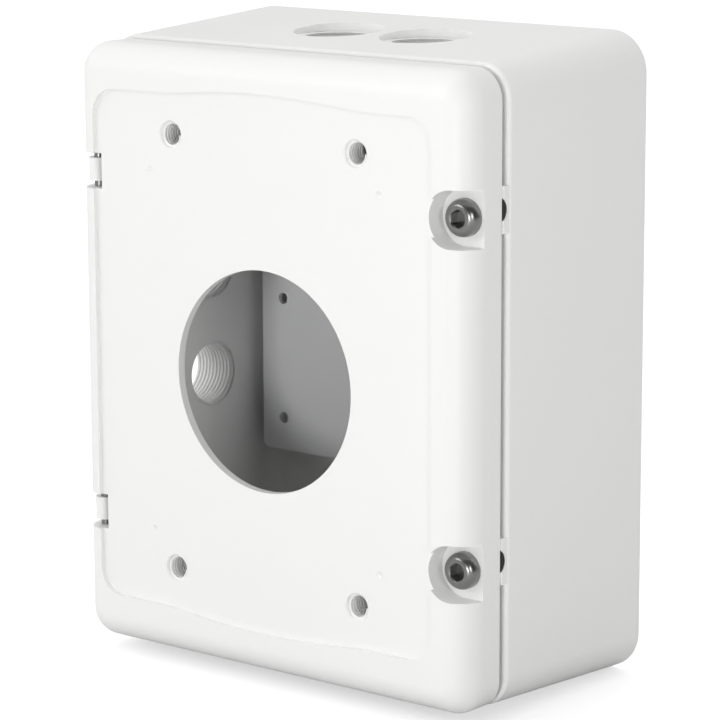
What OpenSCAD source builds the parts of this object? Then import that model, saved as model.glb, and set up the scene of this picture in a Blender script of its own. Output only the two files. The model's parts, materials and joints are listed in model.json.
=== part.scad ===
// Camera junction box: a cast back box with a hinged front cover.
// X runs to the right, Y runs back to the wall, Z runs up.
// The origin is the centre of the wall face.

/* [Back box] */
// Width of the box at its front rim
box_w = 195.6; // [185:0.2:220]
// Height of the box at its front rim
box_h = 240; // [225:0.5:280]
// How much further the front rim reaches down than up
rim_drop = 1.2; // [0:0.1:4]
// Depth from the wall face to the front rim
box_d = 83.9; // [70:0.1:120]
// Corner radius of the front rim
corner_r = 13; // [10:0.5:16]
// How much each side leans out towards the wall
flare_w = 2.4; // [0:0.1:6]
// How much the top and the bottom lean out towards the wall
flare_h = 5.5; // [0:0.1:8]
// Thickness of the outer skin at the rim
skin_t = 4; // [3:0.1:5]
// Thickness of the inner pan's wall
pan_t = 3.5; // [2.5:0.1:4]
// Width of the front rim, from the outside to the inner wall
rim_w = 18.8; // [18:0.1:24]
// Thickness of the rim, in front of the cored pockets
rim_t = 12; // [10:0.5:16]
// Rounding of the rim's outer edge
rim_round = 1.6; // [0.5:0.1:2.5]
// Thickness of the pan's floor
floor_t = 5; // [3:0.5:7]
// Gap between the floor and the wall
floor_gap = 3; // [1:0.5:6]
// Fillet between the inner wall and the floor
floor_fillet = 8; // [4:0.5:12]

/* [Cover] */
// How much further the cover reaches down than up
cover_drop = 2.2; // [0:0.1:4]
// Depth of the cover, from its back edge to its front
cover_d = 20.5; // [19:0.1:30]
// Open seam between the cover and the box
seam_gap = 3; // [2.5:0.1:4]
// How far the cover's sides stand in from the box's rim
cover_inset = 1.2; // [0.5:0.1:2]
// Rounding of the cover's front edge
cover_round = 11; // [8:0.5:12]
// Thickness of the cover's side wall
skirt_t = 3; // [2.5:0.1:4]
// Thickness of the cover's front wall
front_t = 3.4; // [2.5:0.1:5]
// Depth of the recessed panel
panel_d = 1.8; // [0.5:0.1:2.5]
// Rim beside the panel on the hinge side
panel_margin_left = 10.1; // [9:0.1:14]
// Rim beside the panel on the screw side
panel_margin_right = 16.3; // [12:0.1:24]
// Rim above and below the panel
panel_margin_z = 17.4; // [14:0.1:24]
// Corner radius of the panel
panel_r = 11; // [6:0.5:16]
// Height of the crown in the panel's top and bottom edges
crown_h = 3; // [1:0.1:4]
// Width of that crown
crown_w = 94; // [60:1:120]
// Thickness of the rib that presses on the gasket
rib_t = 2.4; // [2:0.1:3]

/* [Camera interface] */
// Sideways place of the camera pattern
pattern_x = -1.7; // [-4:0.1:4]
// Width between the tapped holes
pattern_w = 91; // [80:0.5:100]
// Height between the tapped holes
pattern_h = 171.4; // [160:0.2:180]
// Diameter of the tapped holes
tap_dia = 10; // [6:0.5:12]
// Depth of the bosses behind the tapped holes
tap_boss_d = 11; // [8:0.5:14]
// Diameter of the cable opening
port_dia = 86; // [60:0.5:92]
// Height of the cable opening's centre
port_z = -5.4; // [-10:0.1:10]
// Width between the drill marks
mark_w = 113; // [100:0.5:130]
// Height between the drill marks
mark_h = 142.8; // [120:0.2:155]
// Diameter of the drill marks
mark_dia = 3; // [1:0.1:4]

/* [Hinge] */
// Height of each hinge above and below the middle
hinge_z = 68.5; // [55:0.5:85]
// Hinge axis, in from the cover's side
hinge_in = 6.1; // [6:0.1:7]
// Hinge axis, back from the cover's front
hinge_back = 7.8; // [7.6:0.1:9]
// Radius of the box's knuckles
knuckle_r = 4; // [3.5:0.1:4.5]
// Height of the box's knuckles
knuckle_h = 9; // [7:0.5:11]
// Height of the notches in the cover
notch_h = 14; // [12.5:0.5:18]
// Diameter of the hinge pins
pin_dia = 4; // [3:0.5:4]
// Running clearance around a pin, on the radius
pin_clear = 0.1; // [0.05:0.01:0.1]
// Height of the cover's own knuckles
boss_h = 10; // [8:0.5:14]

/* [Cover screws] */
// Height of each screw above and below the middle
screw_z = 65.5; // [55:0.5:85]
// Screw axis, in from the cover's side
screw_in = 8.1; // [7.5:0.1:10]
// Nominal diameter of the screws
screw_dia = 8; // [6:0.5:8]
// Root diameter of the screws' thread
screw_root = 6.6; // [5:0.1:6.6]
// Diameter of the screw heads
head_dia = 14; // [10:0.5:15]
// Height of the screw heads
head_h = 5.6; // [4:0.1:7]
// Hexagon in the screw heads, across its flats
hex_af = 6; // [4:0.5:6]
// Length of thread in the box
screw_reach = 6; // [4:0.1:6.5]
// Height of the screw pockets
pocket_h = 21.6; // [18:0.2:24]
// Depth of the pockets below the cover's front
pocket_d = 10.2; // [8:0.1:11]

/* [Conduit entries] */
// Diameter of the threaded bores
conduit_dia = 26.4; // [20:0.2:27]
// Distance of the axes on the left from the cover's front
conduit_back = 60.5; // [55:0.5:64]
// Distance of the axes on the top from the cover's front
top_back = 66; // [60:0.5:68]
// Distance between the two axes on the top
conduit_pitch = 42.5; // [39:0.5:50]
// Sideways shift of the pair on the top
conduit_shift = 5.4; // [-10:0.1:10]
// Distance between the two axes on the left
side_pitch = 44.8; // [42:0.2:60]
// Upward shift of the pair on the left
side_shift = 1.4; // [-10:0.1:10]
// Diameter of the seats on the top
seat_dia = 36; // [32:0.5:37]
// Depth of the seats on the top
seat_d = 2.4; // [2:0.1:6]

/* [Equipment plate] */
// Gap between the plate and the inner wall on either side
plate_gap = 5; // [3:0.5:20]
// Height of the plate
plate_h = 127; // [110:1:135]
// Thickness of the plate
plate_t = 2; // [1.5:0.1:3]
// Height of the plate's centre
plate_z = 8.2; // [0:0.1:10]
// Height of the posts below the plate
post_h = 11.2; // [6:0.1:14]
// Sideways distance between the plate's screws
post_w = 40; // [30:1:60]
// Equipment holes, in from the plate's side edges
grid_in = 11; // [6:0.5:16]
// Equipment holes and the plate's screws, in from its top and bottom edges
grid_end = 13.5; // [8:0.5:20]
// Diameter of the equipment holes
grid_dia = 4.6; // [3:0.1:6]

/* [Wall fixing] */
// Sideways distance between the wall anchors
anchor_w = 120; // [100:1:130]
// Height between the wall anchors
anchor_h = 176; // [170:1:180]
// Diameter of the anchor holes
anchor_dia = 8.5; // [5:0.5:10]

/* [Hidden] */
$fn = 64;
EPS = 0.05;          // cuts pass this far through a face
FIT = 0.3;           // gap between parts that must not touch
CLEAR = 24;          // how far a hollow's cutter runs on past its mouth

y_rim = -box_d;                      // front rim of the box
y_edge = y_rim - seam_gap;           // back edge of the cover
y_front = y_edge - cover_d;          // foremost face of the cover
y_panel = y_front + panel_d;         // recessed panel
y_inner = y_panel + front_t;         // inside of the cover's front wall
y_floor = -(floor_gap + floor_t);    // inside of the box's floor

cover_w = box_w - 2 * cover_inset;
cover_h = box_h - 2 * cover_inset;
cover_r = corner_r - cover_inset;
cavity_w = box_w - 2 * rim_w;
cavity_h = box_h - 2 * rim_w;
cavity_r = 9;

hinge_x = hinge_in - cover_w / 2;
hinge_y = y_front + hinge_back;
notch_wall_x = hinge_x + knuckle_r + 2.8;    // wall that closes the notches

gasket_w = 2.8;                      // width of the gasket
gasket_d = 3.6;                      // depth of its groove
gasket_proud = 1.3;                  // how far it stands out of the groove
gasket_mid = cover_w / 2 + notch_wall_x + rib_t / 2 + 1;   // its middle, in from the cover's side
gasket_line_w = cover_w - 2 * gasket_mid;
gasket_line_h = cover_h - 2 * gasket_mid;
gasket_line_r = 6;

screw_x = cover_w / 2 - screw_in;
y_seat = y_front + pocket_d;         // floor of the screw pockets
pocket_floor_t = 3.6;
y_tip = y_rim + screw_reach;
ring_t = 1.2;                        // thickness of a retaining ring
ring_dia = screw_dia + 1.6;
y_ring = y_rim - FIT - ring_t;       // front of a retaining ring

conduit_y = y_front + conduit_back;
top_conduit_y = y_front + top_back;
conduit_boss_r = conduit_dia / 2 + 5.2;
conduit_chamfer = 1.1;

y_plate = y_floor - post_h;          // back of the equipment plate
plate_w = cavity_w - 2 * plate_gap;
grid_w = plate_w - 2 * grid_in;
grid_pitch = plate_h / 2 - grid_end;
post_pitch = 2 * grid_pitch;
post_dia = 10;
plate_screw_dia = 4;                 // nominal diameter of the plate's screws
plate_screw_l = 10;
plate_head_dia = 8;
washer_dia = 9;
washer_t = 0.8;
earth_in = 21.2;                     // earth terminal, up from the pan's lower wall
earth_place = [0, 0, earth_in - cavity_h / 2];
earth_clamp_w = 10;                  // width of the saddle that holds the lead
earth_dia = 5;
earth_pad_h = 4;
insert_dia = screw_dia + 1.6;        // outside of the threaded inserts

// A cylinder whose axis runs along Y, from y0 back to y1
module bar_y(d, y0, y1) {
    translate([0, y1, 0]) rotate([90, 0, 0]) cylinder(d = d, h = y1 - y0);
}

// A cone whose axis runs along Y
module cone_y(d0, d1, y0, y1) {
    translate([0, y1, 0]) rotate([90, 0, 0]) cylinder(d1 = d1, d2 = d0, h = y1 - y0);
}

// A flat outline in X and Z, extruded from y0 back to y1
module slab(y0, y1) {
    translate([0, y1, 0]) rotate([90, 0, 0]) linear_extrude(y1 - y0) children();
}

// A rectangle with round corners, made of exact lines and arcs
module round_rect(w, h, r) {
    square([w - 2 * r, h], center = true);
    square([w, h - 2 * r], center = true);
    for (sx = [-1, 1], sz = [-1, 1])
        translate([sx * (w / 2 - r), sz * (h / 2 - r)]) circle(r = r);
}

// Places of the four corner centres of a rectangle with corner radius r
module at_corners(w, h, r) {
    for (sx = [-1, 1], sz = [-1, 1]) translate([sx * (w / 2 - r), 0, sz * (h / 2 - r)]) children();
}

// A round post along Y whose front edge is rounded by r
module round_post(radius, r, y0, y1, steps) {
    translate([0, y0, 0]) rotate([-90, 0, 0]) rotate_extrude($fn = 48) polygon(concat(
        [[0, y1 - y0], [0, 0]],
        [for (i = [0 : steps]) let (a = 90 * i / steps) [radius - r + r * sin(a), r - r * cos(a)]],
        [[radius, y1 - y0]]));
}

// A slab whose front edge is rounded all round by r
module pillow(w, h, corner, r, y0, y1, steps = 8) {
    hull() at_corners(w, h, corner) round_post(corner, min(r, corner - 0.5), y0, y1, steps);
}

// The leaning outside of the box
module box_shell() {
    back_r = corner_r + flare_w;
    hull() {
        translate([0, 0, -rim_drop / 2]) at_corners(box_w, box_h + rim_drop, corner_r)
            round_post(corner_r, rim_round, y_rim, y_rim + rim_round + 1, 4);
        at_corners(box_w + 2 * flare_w, box_h + 2 * flare_h, back_r)
            translate([0, -1, 0]) rotate([-90, 0, 0]) cylinder(r = back_r, h = 1, $fn = 48);
    }
}

// The space inside the pan, with its fillet at the floor
module box_cavity() {
    mirror([0, 1, 0])
        pillow(cavity_w, cavity_h, cavity_r, floor_fillet, -y_floor, -y_rim + CLEAR);
}

// Places of the screws, hinges, anchors and conduits
module at_screws() {
    for (s = [-1, 1]) translate([screw_x, 0, s * screw_z]) children();
}
module at_hinges() {
    for (s = [-1, 1]) translate([hinge_x, hinge_y, s * hinge_z]) children();
}
module at_anchors() {
    for (sx = [-1, 1], sz = [-1, 1]) translate([sx * anchor_w / 2, 0, sz * anchor_h / 2]) children();
}
module at_posts() {
    for (i = [0 : 3]) translate(post_place(i)) children();
}
function post_place(i) = [(i % 2 == 0 ? -1 : 1) * post_w / 2, 0,
                          plate_z + (i < 2 ? 1 : -1) * post_pitch / 2];
module at_top_conduits() {
    for (s = [-1, 1]) translate([conduit_shift + s * conduit_pitch / 2, top_conduit_y, 0]) children();
}
module at_side_conduits() {
    for (s = [-1, 1]) translate([0, conduit_y, side_shift + s * side_pitch / 2])
        rotate([0, -90, 0]) children();
}

// Closed ring along the gasket's line
module gasket_outline(wide = gasket_w) {
    difference() {
        round_rect(gasket_line_w + wide, gasket_line_h + wide, gasket_line_r + wide / 2);
        round_rect(gasket_line_w - wide, gasket_line_h - wide, gasket_line_r - wide / 2);
    }
}

// Cored pockets, open towards the wall, between the skin and the pan
module core_pockets() {
    rib = 3;
    difference() {
        slab(y_rim + rim_t, EPS) difference() {
            translate([0, -rim_drop / 2])
                round_rect(box_w - 2 * skin_t, box_h + rim_drop - 2 * skin_t, corner_r - skin_t);
            round_rect(cavity_w + 2 * pan_t, cavity_h + 2 * pan_t, cavity_r + pan_t);
        }
        // ribs across the ring
        for (x = [-2 : 2]) translate([x * cavity_w / 4 - rib / 2, y_rim, -box_h]) cube([rib, box_d, 2 * box_h]);
        for (z = [-2 : 2]) translate([-box_w, y_rim, z * cavity_h / 4.4 - rib / 2]) cube([2 * box_w, box_d, rib]);
        // solid metal around the conduits and the cover screws
        at_top_conduits() cylinder(r = conduit_boss_r, h = box_h);
        at_side_conduits() cylinder(r = conduit_boss_r, h = box_w);
        at_screws() bar_y(screw_dia + 8, y_rim, y_tip + 6);
    }
}

module tapped_conduit(inner, outer) {
    translate([0, 0, inner - EPS]) cylinder(d = conduit_dia, h = outer - inner + 2 * EPS);
    translate([0, 0, inner - EPS])
        cylinder(d1 = conduit_dia + 2 * conduit_chamfer, d2 = conduit_dia, h = conduit_chamfer);
}

// Lugs on the rim that carry the hinge pins
module box_knuckle() {
    translate([0, 0, -knuckle_h / 2]) {
        difference() {
            union() {
                cylinder(r = knuckle_r, h = knuckle_h);
                translate([-knuckle_r, 0, 0]) cube([2 * knuckle_r, y_rim - hinge_y + EPS, knuckle_h]);
            }
            translate([0, 0, -EPS]) cylinder(d = pin_dia + 2 * pin_clear, h = knuckle_h + 2 * EPS);
        }
    }
}

// Pads on the rim that close the seam beside the screws
module seam_pad() {
    pad_h = 17.6;
    pad_rise = 2.1;
    notch_r = 4.6;
    top_y = y_edge + FIT;
    translate([0, 0, pad_rise]) difference() {
        translate([box_w / 2 - 3.4, top_y, -pad_h / 2]) cube([3, y_rim - top_y + EPS, pad_h]);
        translate([box_w / 2 - 5, top_y - 2.2, 0]) rotate([0, 90, 0]) cylinder(r = notch_r, h = 6);
    }
}

module back_box() {
    top_z = box_h / 2;
    side_x = box_w / 2;
    color("white") {
        difference() {
            union() {
                difference() {
                    box_shell();
                    box_cavity();
                    slab(-floor_gap, EPS)
                        round_rect(cavity_w + 2 * pan_t, cavity_h + 2 * pan_t, cavity_r + pan_t);
                    core_pockets();
                }
                floor_features();
            }
            // groove for the gasket and seats of the threaded inserts
            slab(y_rim - 1, y_rim + gasket_d) gasket_outline();
            at_screws() bar_y(insert_dia, y_rim - 1, y_tip + 2);
            // conduit entries on the top and on the left
            at_top_conduits() {
                tapped_conduit(cavity_h / 2, top_z + flare_h);
                translate([0, 0, top_z + flare_h / 2 - seat_d]) cylinder(d = seat_dia, h = seat_d + flare_h);
            }
            at_side_conduits() tapped_conduit(cavity_w / 2, side_x + flare_w);
            // holes in the floor
            at_anchors() bar_y(anchor_dia, y_floor - 2, EPS);
            at_posts() bar_y(plate_screw_dia, y_plate - EPS, y_floor - 0.5);
            translate(earth_place) bar_y(earth_dia, y_floor - earth_pad_h - 1, y_floor + 2.5);
        }
        at_hinges() box_knuckle();
        for (s = [-1, 1]) translate([0, 0, s * screw_z]) seam_pad();
    }
}

// Posts for the plate, a pad for the earth terminal, and what stands on the floor's back
module floor_features() {
    rib = 3;
    at_posts() bar_y(post_dia, y_plate, y_floor + 1);
    translate(earth_place) bar_y(earth_clamp_w + 2, y_floor - earth_pad_h, y_floor + 1);
    at_anchors() bar_y(anchor_dia + 9, -floor_gap - 1, 0);
    for (s = [-1 : 1]) translate([s * cavity_w / 4 - rib / 2, -floor_gap - 1, -cavity_h / 2 - 1])
        cube([rib, floor_gap + 1, cavity_h + 2]);
}

// The panel's outline: a round rectangle whose top and bottom edges crown outwards
panel_left = -cover_w / 2 + panel_margin_left;
panel_right = cover_w / 2 - panel_margin_right;
panel_top = cover_h / 2 - panel_margin_z;
crown_mid = pattern_x;
function crown(x) = let (t = 2 * (x - crown_mid) / crown_w, g = 1 - t * t, soft = 0.12)
    crown_h * (g + sqrt(g * g + soft * soft)) / 2;
module panel_outline() {
    steps = 36;
    reach = crown_w * 0.62;
    for (s = [-1, 1]) scale([1, s]) polygon(concat(
        [[crown_mid + reach, 0], [crown_mid - reach, 0]],
        [for (i = [0 : steps]) let (x = crown_mid - reach + 2 * reach * i / steps)
            [x, panel_top + crown(x)]]));
    translate([(panel_left + panel_right) / 2, 0])
        round_rect(panel_right - panel_left, 2 * panel_top, panel_r);
}

// Outline of a screw pocket, round towards the panel and open to the cover's side
module pocket_outline(extra = 0) {
    circle(d = pocket_h + 2 * extra);
    translate([0, -pocket_h / 2 - extra]) square([screw_in + 2, pocket_h + 2 * extra]);
}

// What stands inside the cover: pocket walls, tapped bosses and hinge blocks
module cover_inside() {
    at_screws() slab(y_front, y_seat + pocket_floor_t) pocket_outline(2.5);
    at_pattern(pattern_w, pattern_h) bar_y(tap_dia + 9, y_front, y_panel + tap_boss_d);
    at_hinges() {
        for (s = [-1, 1]) {
            translate([0, 0, s * (notch_h + boss_h) / 2])
                cylinder(r = pin_dia / 2 + 3.2, h = boss_h, center = true);
            translate([-hinge_in, -hinge_back, s * (notch_h / 2 + 1.2) - 1.2])
                cube([notch_wall_x - hinge_x + hinge_in + 1, cover_d, 2.4]);
        }
    }
}
module at_pattern(w, h) {
    for (sx = [-1, 1], sz = [-1, 1]) translate([pattern_x + sx * w / 2, 0, sz * h / 2]) children();
}

module cover() {
    color("white") difference() {
        union() {
            difference() {
                translate([0, 0, -cover_drop / 2])
                    pillow(cover_w, cover_h + cover_drop, cover_r, cover_round, y_front, y_edge);
                difference() {
                    translate([0, 0, -cover_drop / 2])
                        pillow(cover_w - 2 * skirt_t, cover_h + cover_drop - 2 * skirt_t,
                               cover_r - skirt_t, 3, y_inner, y_edge + CLEAR / 2, 3);
                    cover_inside();
                }
            }
            // rib that presses on the gasket
            slab(y_inner - 1, y_rim - gasket_proud) gasket_outline(rib_t);
        }
        slab(y_front - 1, y_panel) panel_outline();
        // cable opening
        translate([pattern_x, 0, port_z]) {
            bar_y(port_dia, y_front - 1, y_inner + 1);
            cone_y(port_dia + 1.2, port_dia, y_panel - EPS, y_panel + 0.6);
        }
        // tapped holes and drill marks
        at_pattern(pattern_w, pattern_h) {
            bar_y(tap_dia, y_front - 1, y_panel + tap_boss_d + 1);
            cone_y(tap_dia + 1, tap_dia, y_panel - EPS, y_panel + 0.5);
        }
        at_pattern(mark_w, mark_h) bar_y(mark_dia, y_front - 1, y_panel + 0.8);
        // screw pockets
        at_screws() {
            slab(y_front - 1, y_seat) pocket_outline();
            bar_y(screw_dia + 0.4, y_seat - 1, y_seat + pocket_floor_t + 1);
        }
        // notches and pin bores of the hinges
        at_hinges() {
            translate([-hinge_in - 1, -hinge_back - 1, -notch_h / 2])
                cube([notch_wall_x - hinge_x + hinge_in + 1, cover_d + 2, notch_h]);
            cylinder(d = pin_dia, h = notch_h + 2 * boss_h + 2, center = true);
        }
    }
}

module cover_gasket() {
    color("dimgray") slab(y_rim - gasket_proud, y_rim + gasket_d) gasket_outline();
}

module hinge_pin(s) {
    color("silver") translate([hinge_x, hinge_y, s * hinge_z]) {
        end = 0.4;
        half = notch_h / 2 + boss_h - 0.5;
        cylinder(d = pin_dia, h = 2 * (half - end), center = true);
        for (m = [0, 1]) mirror([0, 0, m]) translate([0, 0, half - end])
            cylinder(d1 = pin_dia, d2 = pin_dia - 2 * end, h = end);
    }
}
module hinge_pin_upper() { hinge_pin(1); }
module hinge_pin_lower() { hinge_pin(-1); }

// Steel thread for a cover screw, pressed into the rim
module thread_insert(s) {
    color("silver") translate([screw_x, 0, s * screw_z]) difference() {
        bar_y(insert_dia, y_rim, y_tip + 2);
        bar_y(screw_dia + 0.2, y_rim - 1, y_tip + 3);
        cone_y(screw_dia + 1, screw_dia + 0.2, y_rim - EPS, y_rim + 0.4);
    }
}
module thread_insert_upper() { thread_insert(1); }
module thread_insert_lower() { thread_insert(-1); }

// Domed head with a hexagon socket, on a shank that runs back along Y from y = 0
module socket_screw(shank, length, head, height, hex) {
    collar = 0.38 * height;
    flat_r = 0.3 * head;
    steps = 8;
    rotate([90, 0, 0]) difference() {
        rotate_extrude() polygon(concat(
            [[0, height], [0, 0], [head / 2, 0]],
            [for (i = [0 : steps]) let (a = 90 * i / steps)
                [flat_r + (head / 2 - flat_r) * cos(a), collar + (height - collar) * sin(a)]]));
        translate([0, 0, height * 0.35]) cylinder(d = hex / cos(30), h = height, $fn = 6);
    }
    bar_y(shank, -EPS, length - 0.8);
    cone_y(shank, shank - 1.6, length - 0.8, length);
}

module cover_screw(s) {
    color("silver") translate([screw_x, y_seat, s * screw_z])
        socket_screw(screw_root, y_tip - y_seat, head_dia, head_h, hex_af);
}
module cover_screw_upper() { cover_screw(1); }
module cover_screw_lower() { cover_screw(-1); }

// Ring on the shank that keeps a loosened screw in the cover
module retaining_ring(s) {
    color("dimgray") translate([screw_x, 0, s * screw_z]) difference() {
        bar_y(ring_dia, y_ring, y_ring + ring_t);
        bar_y(screw_root, y_ring - 1, y_ring + ring_t + 1);
        translate([-0.9, y_ring - 1, 0]) cube([1.8, ring_t + 2, ring_dia]);
    }
}
module retaining_ring_upper() { retaining_ring(1); }
module retaining_ring_lower() { retaining_ring(-1); }

module equipment_plate() {
    color("gainsboro") difference() {
        translate([0, 0, plate_z]) slab(y_plate - plate_t, y_plate) round_rect(plate_w, plate_h, 3);
        at_posts() bar_y(plate_screw_dia + 0.5, y_plate - plate_t - 1, y_plate + 1);
        for (sx = [-1, 1], row = [-1 : 1])
            translate([sx * grid_w / 2, 0, plate_z + row * grid_pitch])
                bar_y(grid_dia, y_plate - plate_t - 1, y_plate + 1);
    }
}

module plate_screw(i) {
    y_head = y_plate - plate_t - washer_t;
    color("silver") translate(post_place(i)) translate([0, y_head, 0])
        socket_screw(plate_screw_dia, plate_screw_l, plate_head_dia, 2.6, 2.5);
}
module plate_screw_1() { plate_screw(0); }
module plate_screw_2() { plate_screw(1); }
module plate_screw_3() { plate_screw(2); }
module plate_screw_4() { plate_screw(3); }

module plate_washers() {
    y_back = y_plate - plate_t;
    color("silver") at_posts() difference() {
        bar_y(washer_dia, y_back - washer_t, y_back);
        bar_y(plate_screw_dia, y_back - washer_t - 1, y_back + 1);
    }
}

// Earth terminal: a toothed washer, a saddle that holds the lead, and a screw
earth_washer_t = 0.9;
earth_clamp_t = 1.6;
earth_clamp_h = 3.2;
earth_washer_dia = earth_clamp_w + 1;
y_earth = y_floor - earth_pad_h;
module earth_washer() {
    teeth = 10;
    color("silver") translate(earth_place) difference() {
        bar_y(earth_washer_dia, y_earth - earth_washer_t, y_earth);
        bar_y(earth_dia, y_earth - earth_washer_t - 1, y_earth + 1);
        for (i = [0 : teeth - 1]) rotate([0, 360 / teeth * i, 0])
            translate([earth_washer_dia / 2 - 1.3, y_earth - earth_washer_t - 1, -0.5])
                cube([3, earth_washer_t + 2, 1]);
    }
}
module earth_clamp() {
    y_back = y_earth - earth_washer_t;
    color("silver") translate(earth_place) difference() {
        translate([-earth_clamp_w / 2, y_back - earth_clamp_h, -earth_clamp_w / 2])
            cube([earth_clamp_w, earth_clamp_h, earth_clamp_w]);
        translate([-earth_clamp_w / 2 + earth_clamp_t, y_back - earth_clamp_h + earth_clamp_t,
                   -earth_clamp_w / 2 - 1])
            cube([earth_clamp_w - 2 * earth_clamp_t, earth_clamp_h, earth_clamp_w + 2]);
        bar_y(earth_dia + 0.4, y_back - 5, y_back + 1);
    }
}
module earth_screw() {
    y_head = y_earth - earth_washer_t - earth_clamp_h;
    color("goldenrod") translate(earth_place) translate([0, y_head, 0])
        socket_screw(earth_dia, y_floor + 1.5 - y_head, 9, 3, 3);
}

back_box();
cover();
cover_gasket();
hinge_pin_upper();
hinge_pin_lower();
thread_insert_upper();
thread_insert_lower();
cover_screw_upper();
cover_screw_lower();
retaining_ring_upper();
retaining_ring_lower();
equipment_plate();
plate_screw_1();
plate_screw_2();
plate_screw_3();
plate_screw_4();
plate_washers();
earth_screw();
earth_clamp();
earth_washer();
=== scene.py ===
# %% [markdown]
# # A cast camera junction box
# The object is a deep aluminium box that hangs on a wall, with a hinged front cover that carries a
# camera bracket. The imported CAD model is loaded first and stays where it is. This script dresses it:
# it models the powder-coated castings with soft edges, the threads, and the stainless screws, gives
# each piece the finish that the real one has, and sets two black blocks as painted shade in two notches.

# %% Load the frame
import json
import math

import bpy
from mathutils import Matrix, Vector


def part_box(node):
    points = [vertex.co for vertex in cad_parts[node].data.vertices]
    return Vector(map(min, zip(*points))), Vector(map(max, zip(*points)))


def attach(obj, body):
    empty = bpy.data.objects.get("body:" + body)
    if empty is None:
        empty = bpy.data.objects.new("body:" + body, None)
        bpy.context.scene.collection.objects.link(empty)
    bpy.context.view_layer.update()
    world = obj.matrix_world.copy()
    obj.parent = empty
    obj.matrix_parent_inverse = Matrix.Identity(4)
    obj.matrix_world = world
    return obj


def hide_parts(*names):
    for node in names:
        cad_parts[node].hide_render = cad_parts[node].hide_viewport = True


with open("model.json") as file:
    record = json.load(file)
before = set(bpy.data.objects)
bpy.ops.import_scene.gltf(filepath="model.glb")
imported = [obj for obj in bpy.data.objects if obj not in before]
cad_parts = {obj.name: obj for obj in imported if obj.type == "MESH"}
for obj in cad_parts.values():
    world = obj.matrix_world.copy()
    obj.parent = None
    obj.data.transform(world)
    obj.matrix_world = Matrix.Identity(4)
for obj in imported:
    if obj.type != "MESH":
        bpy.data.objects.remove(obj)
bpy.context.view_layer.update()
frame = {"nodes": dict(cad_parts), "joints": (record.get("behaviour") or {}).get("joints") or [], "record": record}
scene = bpy.context.scene
MM = 0.001

# %% [markdown]
# Sizes come from the frame where it holds them: the corners of each node's box, the hinge's place and
# the mounts. The rest are the designer's own dimensions, in metres.

# %% Sizes that the pieces share
(box_low, box_high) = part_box("back_box")
(cover_low, cover_high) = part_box("cover")
(plate_low, plate_high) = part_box("equipment_plate")
mounts = {m["name"]: m for m in frame["record"]["mounts"]}
print("back box", [round(v, 4) for v in box_low], [round(v, 4) for v in box_high])
print("cover", [round(v, 4) for v in cover_low], [round(v, 4) for v in cover_high])

# %% [markdown]
# The camera stands where the photographer's stood: to the right of the box, a little above its middle,
# with a long lens. Its place and its three angles were worked out from the outline of the box, the four
# tapped holes and the round opening in the photograph.

# %% Camera
CAMERA_PLACE = (0.7754, -1.0081, 0.2419)
CAMERA_TURN = 38.955
CAMERA_DOWN = 11.339
CAMERA_ROLL = -0.2
CAMERA_LENS = 160.2

camera_data = bpy.data.cameras.new("camera")
camera_data.lens = CAMERA_LENS
camera_data.sensor_width = 36
camera_data.clip_start = 0.05
camera = bpy.data.objects.new("camera", camera_data)
scene.collection.objects.link(camera)
camera.matrix_world = (
    Matrix.Translation(CAMERA_PLACE)
    @ Matrix.Rotation(math.radians(CAMERA_TURN), 4, "Z")
    @ Matrix.Rotation(math.radians(90 - CAMERA_DOWN), 4, "X")
    @ Matrix.Rotation(math.radians(CAMERA_ROLL), 4, "Z")
)
scene.camera = camera

# %% [markdown]
# Colours are written as the sRGB hex values that a maker would read off a colour card, and one function
# turns them to the linear numbers that the shaders need. A second small function adds a node, sets its
# values and links its inputs, so that every material below stays a few lines long.

# %% Colour and node helpers
def linear(hex_colour):
    parts = [int(hex_colour[i:i + 2], 16) / 255 for i in (1, 3, 5)]
    return tuple(c / 12.92 if c <= 0.04045 else ((c + 0.055) / 1.055) ** 2.4 for c in parts) + (1.0,)


def node(tree, kind, links=(), **values):
    new = tree.nodes.new(kind)
    for name, value in values.items():
        if hasattr(new, name):
            setattr(new, name, value)
        else:
            new.inputs[name.replace("_", " ")].default_value = value
    for socket, source in links:
        tree.links.new(source, new.inputs[socket])
    return new


def material(name):
    made = bpy.data.materials.new(name)
    made.use_nodes = True
    tree = made.node_tree
    shader = tree.nodes["Principled BSDF"]
    return made, tree, shader


def wear(piece, finish):
    piece.data.materials.clear()
    piece.data.materials.append(finish)
    return piece

# %% [markdown]
# **White powder coat.** Polyester powder is sprayed on dry and baked, so it flows into a fine
# orange-peel skin with a satin sheen. To the eye it is an even white whose highlights are soft and very
# slightly broken. Peel is about 0.8 mm from crest to crest and a few micrometres high.

# %% Powder coat
PEEL_SPACING = 0.8 * MM


def powder_coat(name, colour, roughness, peel=0.03):
    made, tree, shader = material(name)
    shader.inputs["Base Color"].default_value = linear(colour)
    shader.inputs["Roughness"].default_value = roughness
    shader.inputs["IOR"].default_value = 1.5
    where = node(tree, "ShaderNodeTexCoord")
    skin = node(tree, "ShaderNodeTexNoise", [("Vector", where.outputs["Object"])],
                Scale=1 / PEEL_SPACING / 2, Detail=2.0)
    bump = node(tree, "ShaderNodeBump", [("Height", skin.outputs["Fac"])], Strength=peel, Distance=0.0001)
    tree.links.new(bump.outputs["Normal"], shader.inputs["Normal"])
    cloud = node(tree, "ShaderNodeTexNoise", [("Vector", where.outputs["Object"])], Scale=18.0, Detail=3.0)
    spread = node(tree, "ShaderNodeMapRange", [("Value", cloud.outputs["Fac"])],
                  From_Min=0.3, From_Max=0.7, To_Min=roughness - 0.04, To_Max=roughness + 0.04)
    tree.links.new(spread.outputs["Result"], shader.inputs["Roughness"])
    return made


white_coat = powder_coat("powder_coat_white", "#F2F2F1", 0.42)
grey_coat = powder_coat("powder_coat_light_grey", "#E6E7E7", 0.5)

# %% [markdown]
# **Stainless steel.** The screws are turned and washed A2 steel: a grey metal with fine turning marks
# round its axis and a soft gloss.

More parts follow.
